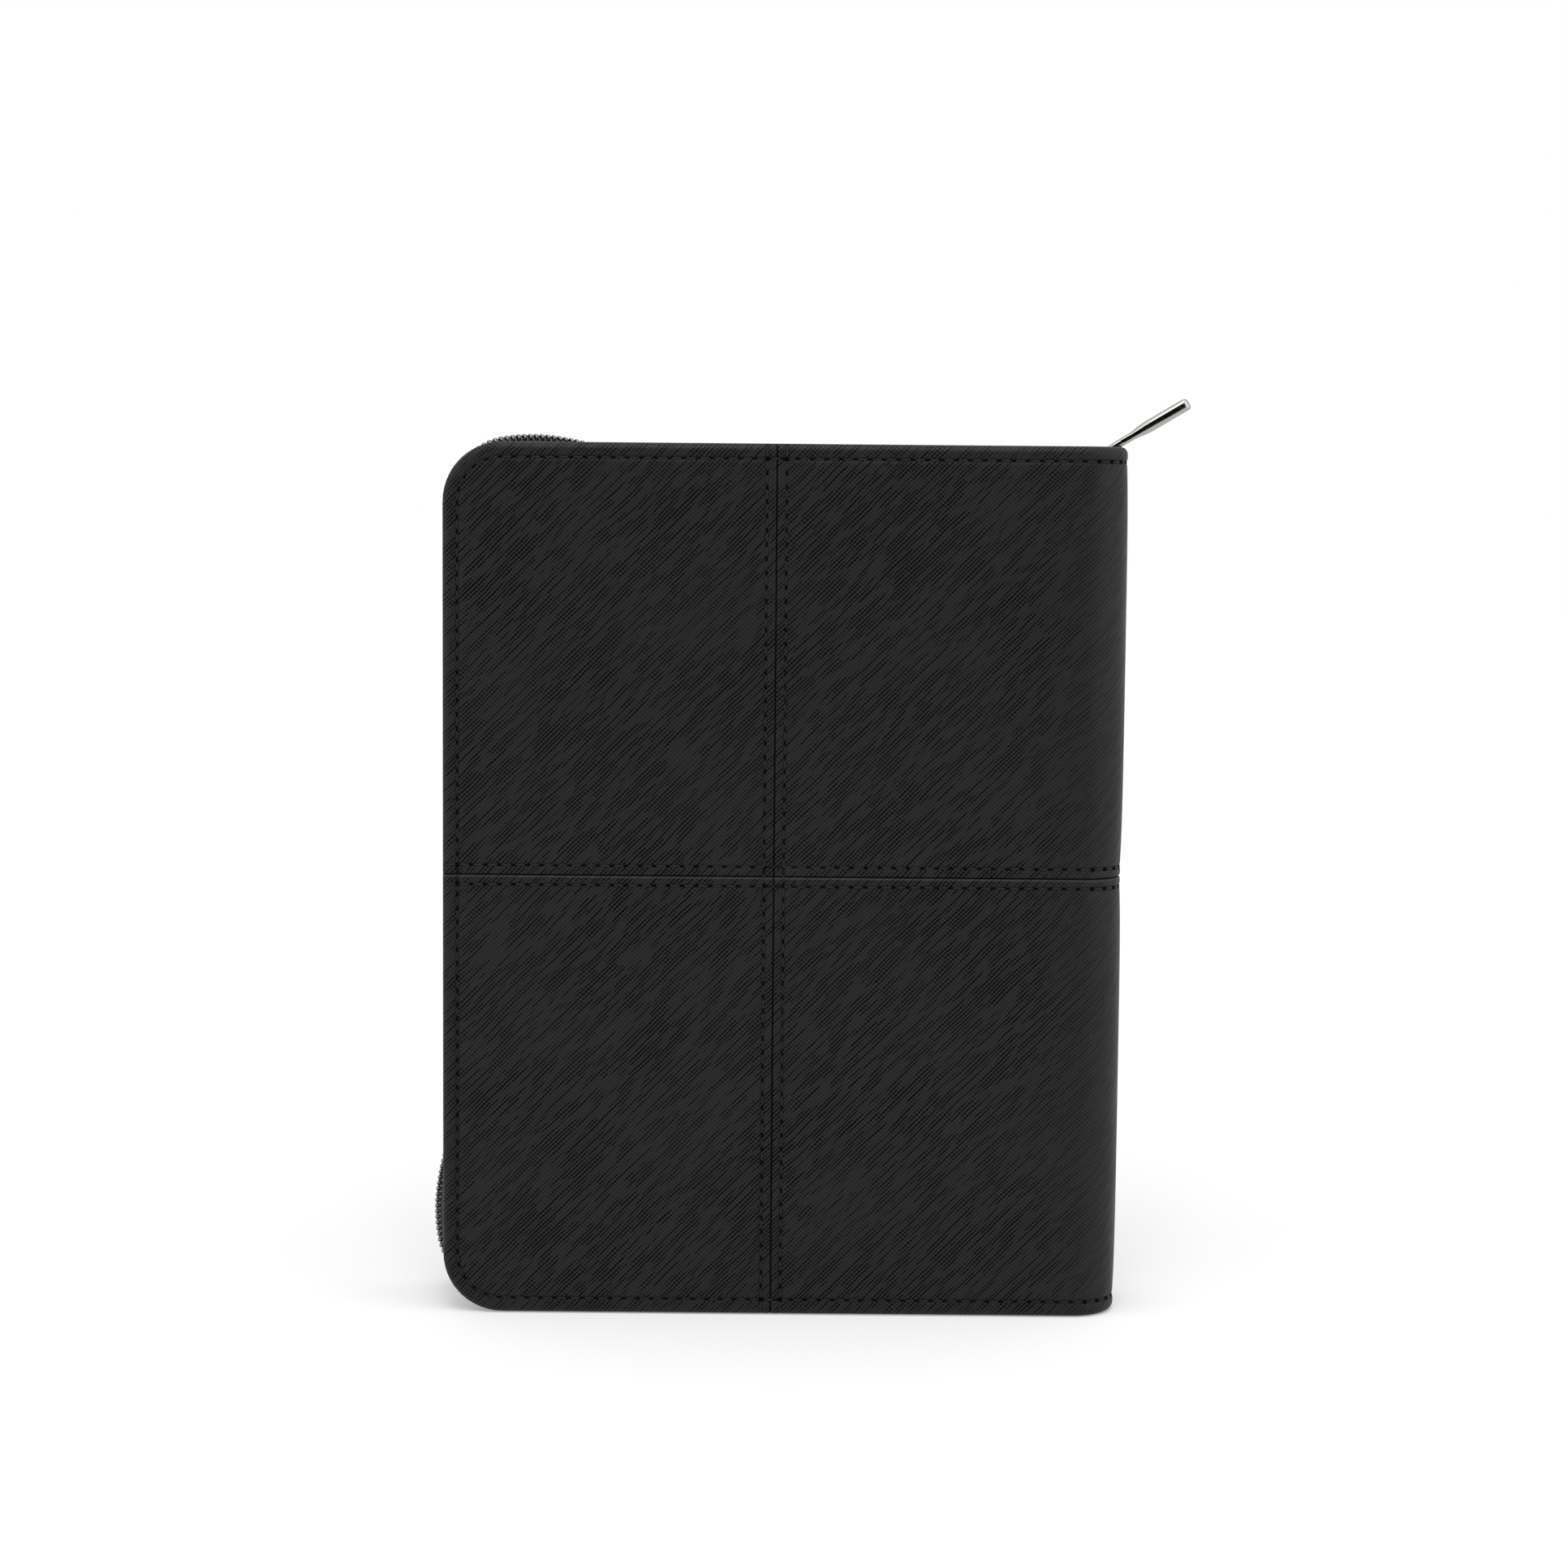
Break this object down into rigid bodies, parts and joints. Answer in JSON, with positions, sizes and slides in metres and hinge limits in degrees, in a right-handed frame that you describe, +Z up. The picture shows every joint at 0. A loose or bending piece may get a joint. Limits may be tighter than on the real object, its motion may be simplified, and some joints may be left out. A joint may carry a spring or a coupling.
{
  "type": "zippered daily planner",
  "caption": "Zip-round ring planner in black cross-grain leather with quartered covers, a spine that opens flat, a ring mechanism with end levers, punched sheets and inner pockets.",
  "frame": {"origin": "foot of the spine, in the middle of its leather", "axes": "+Z up the spine, +X out of the spine, +Y from the back cover to the front cover"},
  "size_m": [0.199, 0.036, 0.2469],
  "materials": {
    "leather": "black cross-grain coated leather",
    "board": "grey-brown stiff board",
    "lining": "black woven lining",
    "tape": "black woven zip tape",
    "teeth": "black nylon zip teeth",
    "pocket": "black smooth pocket leather",
    "elastic": "black elastic band",
    "nickel": "polished nickel",
    "steel": "plain steel sheet",
    "paper": "cream paper",
    "index": "tan index sheet"
  },
  "bodies": {
    "spine": {"spine_skin_upper": "leather", "spine_skin_lower": "leather", "spine_board": "board", "spine_lining": "lining", "ring_base": "nickel", "ring_rivets": "nickel"},
    "back_cover": {"back_upper_outer": "leather", "back_upper_inner": "leather", "back_lower_outer": "leather", "back_lower_inner": "leather", "back_board": "board", "back_lining": "lining", "back_tape": "tape", "back_teeth": "teeth", "back_sleeve": "pocket", "pen_loop": "elastic"},
    "front_cover": {"front_upper_outer": "leather", "front_upper_inner": "leather", "front_lower_outer": "leather", "front_lower_inner": "leather", "front_board": "board", "front_lining": "lining", "front_tape": "tape", "front_teeth": "teeth", "front_sleeve": "pocket", "card_slot_tall": "pocket", "card_slot_middle": "pocket", "card_slot_short": "pocket"},
    "slider": {"slider_body": "nickel"},
    "pull": {"zip_pull": "nickel"},
    "rings_back_half": {"leaf_back": "steel", "rings_back": "nickel"},
    "rings_front_half": {"leaf_front": "steel", "rings_front": "nickel"},
    "lever_head": {"lever_top": "nickel"},
    "lever_tail": {"lever_bottom": "nickel"},
    "sheets_back_half": {"sheets_back": "paper", "index_back": "index"},
    "sheets_front_half": {"sheets_front": "paper", "index_front": "index"}
  },
  "joints": [
    {"name": "back_cover_hinge", "type": "hinge", "parent": "spine", "child": "back_cover", "pos_m": [-0.00198, -0.01542, 0.117], "axis": [0, 0, 1], "range_deg": [0, 90]},
    {"name": "front_cover_hinge", "type": "hinge", "parent": "spine", "child": "front_cover", "pos_m": [-0.00198, 0.01542, 0.117], "axis": [0, 0, -1], "range_deg": [0, 90]},
    {"name": "sheets_back_turn", "type": "hinge", "parent": "spine", "child": "sheets_back_half", "pos_m": [-0.0189, 0, 0.117], "axis": [0, 0, 1], "range_deg": [0, 90]},
    {"name": "sheets_front_turn", "type": "hinge", "parent": "spine", "child": "sheets_front_half", "pos_m": [-0.0189, 0, 0.117], "axis": [0, 0, -1], "range_deg": [0, 90]},
    {"name": "rings_back_open", "type": "hinge", "parent": "spine", "child": "rings_back_half", "pos_m": [-0.0044, -0.0067, 0.117], "axis": [0, 0, 1], "range_deg": [0, 6.5]},
    {"name": "rings_front_open", "type": "hinge", "parent": "spine", "child": "rings_front_half", "pos_m": [-0.0044, 0.0067, 0.117], "axis": [0, 0, -1], "range_deg": [0, 6.5]},
    {"name": "lever_head_press", "type": "hinge", "parent": "spine", "child": "lever_head", "pos_m": [-0.0054, 0, 0.212], "axis": [0, 1, 0], "range_deg": [0, 14.01]},
    {"name": "lever_tail_press", "type": "hinge", "parent": "spine", "child": "lever_tail", "pos_m": [-0.0054, 0, 0.022], "axis": [0, -1, 0], "range_deg": [0, 14.01]},
    {"name": "zip_slide", "type": "slide", "parent": "back_cover", "child": "slider", "axis": [-1, 0, 0], "range_m": [0, 0.115], "deforming": ["back_teeth", "front_teeth"]},
    {"name": "pull_hinge", "type": "hinge", "parent": "slider", "child": "pull", "pos_m": [-0.0047, 0, 0.23285], "axis": [0, -1, 0], "range_deg": [0, 110]}
  ],
  "couplings": [
    {"joint": "sheets_back_turn", "follows": "back_cover_hinge", "ratio": 1},
    {"joint": "sheets_front_turn", "follows": "front_cover_hinge", "ratio": 1},
    {"joint": "rings_front_open", "follows": "rings_back_open", "ratio": 1},
    {"joint": "lever_head_press", "follows": "rings_back_open", "ratio": 2.1538},
    {"joint": "lever_tail_press", "follows": "rings_back_open", "ratio": 2.1538}
  ]
}
